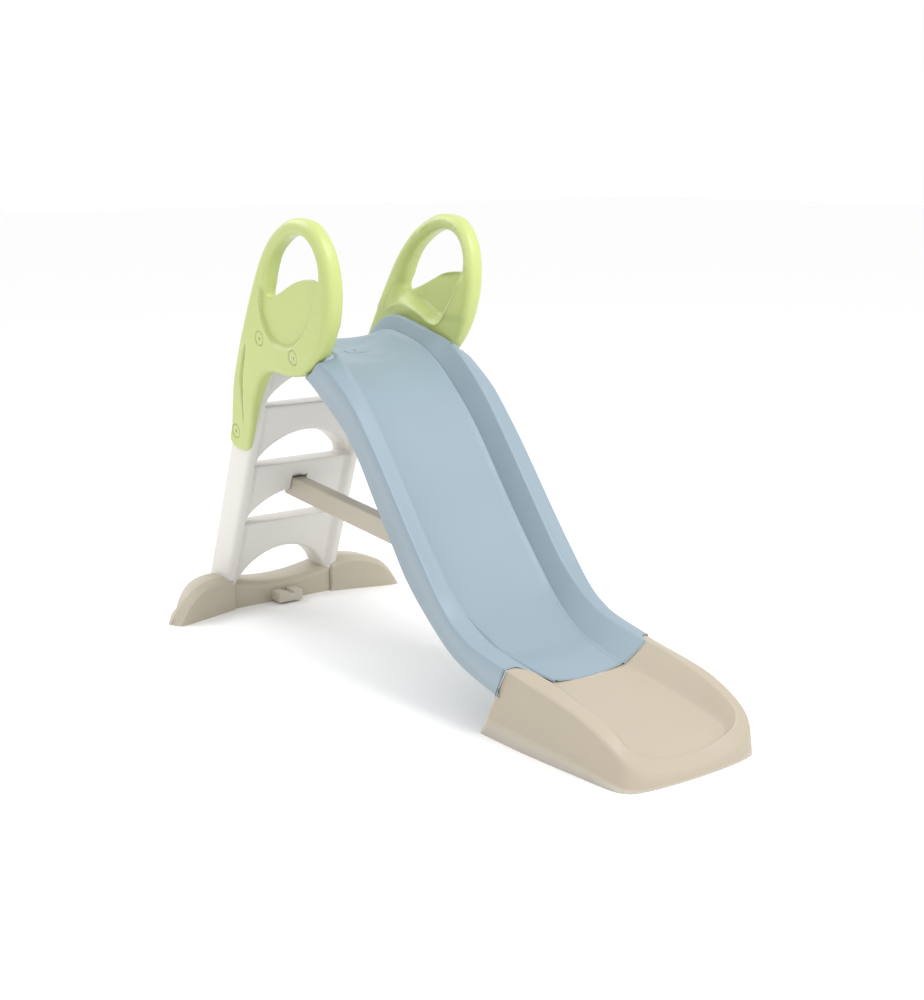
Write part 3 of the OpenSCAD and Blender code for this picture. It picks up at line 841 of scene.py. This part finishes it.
TREADS = (262, 439.5, 617)
low_arch = [(-157, 16), (-157, 42)] + arch_top(46, 157, 171) + [(157, 42), (157, 16)]
openings = [arch(TREADS[0], 162, 355), arch(TREADS[1], 162, 534.5), arch(TREADS[2], 162, 714)]
ladder_loop = even(np.array(low_arch + [(188, 16), (188, 741), (-188, 741), (-188, 16)]), 5.0, True)
rims = openings + [even(np.array(low_arch), 5.0, True)]
slot_box = np.array([(-23, 290), (23, 290), (23, 393.2), (-23, 393.2)])


def box_ring(grow, step=4.0):
    s = slot_box + np.array([(-grow, -grow), (grow, -grow), (grow, grow), (-grow, grow)])
    return even(s, step, True)


def ladder_front(a, b, d):
    y = np.abs(a)
    side = 188 - y
    x = front_x(b) - round_over(side, 13)
    recess = 13.0 * ease((165 - y) / 20.0)
    x = x - recess
    hole = np.min([seg_distance(np.column_stack([a, b]), h) for h in rims], axis=0)
    x = x - round_over(hole, 8.5, 8.0) * (y < 175)
    s = signed(np.column_stack([a, b]), slot_box)
    x = x - 55.0 * (s > 0.1)
    return x


def ladder_back(a, b, d):
    y = np.abs(a)
    side = 188 - y
    x = front_x(b) - 111 + round_over(side, 13)
    hole = np.min([seg_distance(np.column_stack([a, b]), h) for h in rims], axis=0)
    x = x + 12.0 * ease((165 - y) / 20.0) + round_over(hole, 8.5, 8.0) * (y < 175)
    return x


stile_lines = []
for y in (140, 145, 150, 155, 160, 165, 168, 172, 176, 180, 183.5, 186, 187.4):
    for sgn in (-1, 1):
        stile_lines.append(np.array([(sgn * y, z) for z in np.arange(20, 738, 6.0)]))
lv, lf = relief(ladder_loop, openings, stile_lines + [box_ring(0.35), box_ring(-0.35), box_ring(4)],
                ladder_front, ladder_back, rings=(0.5, 1.7, 3.6, 6.2, 9.5), step=9.0)
v = np.column_stack([lv[:, 2], lv[:, 0], lv[:, 1]])
ladder = new_object("ladder_shell", metres(v), lf, WHITE, "ladder_body", ("ladder",))

head_loop = smooth_loop([(160, 700), (240, 700), (290, 727), (350, 733), (420, 735), (466, 762),
                         (472, 800), (440, 826), (350, 830), (285, 822), (235, 795), (190, 750)], 6.0)
for side in (-1, 1):
    wv, wf = relief(head_loop, [], [], lambda a, b, d: 188.4 - round_over(d, 2.0),
                    lambda a, b, d: 180.7 + 0 * a, step=16.0)
    v = np.column_stack([wv[:, 0], wv[:, 2] * side, wv[:, 1]])
    new_object("ladder_head_" + ("right" if side > 0 else "left"), metres(v), wf, WHITE, "ladder_body")

# ---------- feet and crossbar ----------


FOOT_RIDGE = [(166, 94), (190, 98), (225, 102), (260, 99), (290, 92), (318, 81), (335, 70), (352, 53),
              (367, 33), (377, 18), (386, 4)]
FOOT_FRONT = [(166, 0), (220, 14), (275, 30), (324, 45), (362, 51), (381, 46), (389, 28)]
FOOT_BACK = [(166, -149), (230, -149), (290, -125), (330, -80), (350, -50), (372, -15), (386, 3),
             (389, 8)]
ys = np.concatenate([np.linspace(166, 380, 36), [383, 386]])
top_line = np.column_stack([ys, along(FOOT_RIDGE, ys)])
foot_loop = even(np.vstack([top_line, [(389, 1), (388, 0), (166, 0)]]), 4.0, True)


def foot_middle(a):
    return (along(FOOT_FRONT, a) + along(FOOT_BACK, a)) / 2


def foot_front(a, b, d):
    t = seg_distance(np.column_stack([a, b]), top_line, False)
    bevel = 30 * np.clip(1 - t / 13, 0, 1) ** 1.15
    seam = round_over(a - 166, 3.0)
    return np.maximum(along(FOOT_FRONT, a) - bevel - seam, foot_middle(a) + 1)


def foot_back(a, b, d):
    t = seg_distance(np.column_stack([a, b]), top_line, False)
    lean = np.clip(1 - b / np.maximum(along(FOOT_RIDGE, np.minimum(a, 386)), 1), 0, 1) ** 1.5
    upper = np.interp(a, [166, 217, 263, 303, 335, 352, 367, 380], [-95, -80, -52, -30, -4, 6, 12, 16])
    edge = upper + (along(FOOT_BACK, a) - upper) * lean
    return np.minimum(edge + 8 * np.clip(1 - t / 10, 0, 1), foot_middle(a) - 1)


fv, ff = relief(foot_loop, [], [], foot_front, foot_back, rings=(1, 3, 6, 9, 12, 14.5, 18, 24), step=9.0)
for side, label in ((-1, "left"), (1, "right")):
    v = np.column_stack([fv[:, 2], fv[:, 0] * side, fv[:, 1]])
    obj = new_object(label + "_foot_shell", metres(v), ff, BEIGE, "ladder_body",
                     (label + "_foot",))
    sharpen(obj, 50)

ys = np.linspace(-165.3, 165.3, 45)
bar_line = np.column_stack([ys, 62 + 22 * np.abs(ys / 165) ** 2])
bar_loop = even(np.vstack([bar_line, [(165.3, 0), (-165.3, 0)]]), 4.0, True)


def bar_front(a, b, d):
    t = seg_distance(np.column_stack([a, b]), bar_line, False)
    seam = round_over(165.3 - np.abs(a), 2.5)
    return -12 - 16 * np.clip(1 - t / 13, 0, 1) ** 1.4 - seam


def bar_back(a, b, d):
    t = seg_distance(np.column_stack([a, b]), bar_line, False)
    return -129 + 14 * np.clip(1 - t / 13, 0, 1) ** 1.4


bv, bf = relief(bar_loop, [], [], bar_front, bar_back, rings=(1, 3, 6, 9, 13), step=9.0)
v = np.column_stack([bv[:, 2], bv[:, 0], bv[:, 1]])
bar = new_object("crossbar_shell", metres(v), bf, BEIGE, "ladder_body",
                 ("rear_crossbar",))
sharpen(bar, 50)
bevelled("crossbar_block", (-20, -39.5, 5.5), (37.5, 39.5, 30), 4, BEIGE, "ladder_body",
         taper=0.04)
for side, label in ((-1, "a"), (1, "b")):
    lo, hi = (-39.5, -9.5) if side < 0 else (9.5, 39.5)
    bevelled("crossbar_prong_" + label, (-20, lo, 14), (36.5, hi, 37.5), 5, BEIGE, "ladder_body")

# ---------- brace ----------

BRACE_REAR = (70.0, 362.0)
BRACE_FRONT = (920.0, 289.0)
run = (BRACE_FRONT[0] - BRACE_REAR[0], BRACE_FRONT[1] - BRACE_REAR[1])
BRACE_WIDE = 21
BRACE_HIGH = 29
bevelled("brace_bar", (BRACE_REAR[0] - 24, -BRACE_WIDE, BRACE_REAR[1] - BRACE_HIGH),
         (BRACE_REAR[0] + math.hypot(*run) + 14, BRACE_WIDE, BRACE_REAR[1] + BRACE_HIGH), 6, BEIGE,
         "brace_body", turn=-math.atan2(run[1], run[0]),
         pivot=(BRACE_REAR[0], 0, BRACE_REAR[1]), nodes=("brace",))

# ---------- nozzle plate on the deck ----------


def rounded_plate(cx, half_x, half_y, r):
    pts = []
    for sx, sy, a0 in ((1, 1, 0), (-1, 1, 90), (-1, -1, 180), (1, -1, 270)):
        for t in range(0, 91, 15):
            a = math.radians(a0 + t)
            pts.append((cx + sx * (half_x - r) + r * math.cos(a), sy * (half_y - r) + r * math.sin(a)))
    return even(np.array(pts), 3.0, True)


plate_loop = rounded_plate(394, 15, 30, 9)


def bed_z(a, b):
    """Height of the chute's bed at x = a and y = b."""
    bowl = along(MIDDLE_DROP, a) - along(CORNER_DROP, a)
    return along(CREST, a) - along(MIDDLE_DROP, a) + bowl * (np.abs(b) / along(BED_HALF, a)) ** 2.2


pv, pf = relief(plate_loop, [circle((390, 0), 4.5, 20)], [],
                lambda a, b, d: bed_z(a, b) + 2.6 - round_over(d, 2.4), lambda a, b, d: bed_z(a, b) - 2.0,
                rings=(0.4, 1.0, 2.2, 4.0), step=7.0)
new_object("nozzle_plate", metres(pv), pf, BLUE, "chute_body")

# ---------- floor, light, camera ----------

floor_mesh = bpy.data.meshes.new("floor")
floor_mesh.from_pydata([(-30, -30, 0), (30, -30, 0), (30, 30, 0), (-30, 30, 0)], [], [(0, 1, 2, 3)])
floor = bpy.data.objects.new("floor", floor_mesh)
bpy.context.collection.objects.link(floor)
floor_mat = bpy.data.materials.new("floor_paper")
floor_mat.use_nodes = True
floor_mat.node_tree.nodes["Principled BSDF"].inputs["Base Color"].default_value = (0.98, 0.98, 0.98, 1)
floor_mat.node_tree.nodes["Principled BSDF"].inputs["Roughness"].default_value = 0.9
floor.data.materials.append(floor_mat)

world = bpy.data.worlds.new("studio")
bpy.context.scene.world = world
world.use_nodes = True
world.node_tree.nodes["Background"].inputs["Color"].default_value = (1, 1, 1, 1)
world.node_tree.nodes["Background"].inputs["Strength"].default_value = 1.0


def area(name, place, target, size, power):
    lamp = bpy.data.lights.new(name, "AREA")
    lamp.shape = "RECTANGLE"
    lamp.size, lamp.size_y = size
    lamp.energy = power
    obj = bpy.data.objects.new(name, lamp)
    bpy.context.collection.objects.link(obj)
    obj.location = place
    obj.rotation_euler = (Vector(target) - Vector(place)).to_track_quat("-Z", "Y").to_euler()
    return obj


area("key", (2.4, 0.6, 3.6), (0, 0, 0.4), (2.2, 2.2), 102)
area("fill", (-3.0, -1.3, 3.2), (0, 0, 0.4), (2.6, 2.0), 48)

camera_data = bpy.data.cameras.new("camera")
camera_data.sensor_width = 36
camera_data.lens = 56.8
camera = bpy.data.objects.new("camera", camera_data)
bpy.context.collection.objects.link(camera)
CAMERA_X = 3894.0
CAMERA_TILT = 12.5
camera.location = ((CAMERA_X - MID) / 1000, -2.316, 1.302)
heading = Vector((-0.7946, 0.6071, -math.tan(math.radians(CAMERA_TILT))))
camera.rotation_euler = heading.to_track_quat("-Z", "Y").to_euler()
bpy.context.scene.camera = camera
bpy.context.scene.view_settings.view_transform = "Standard"
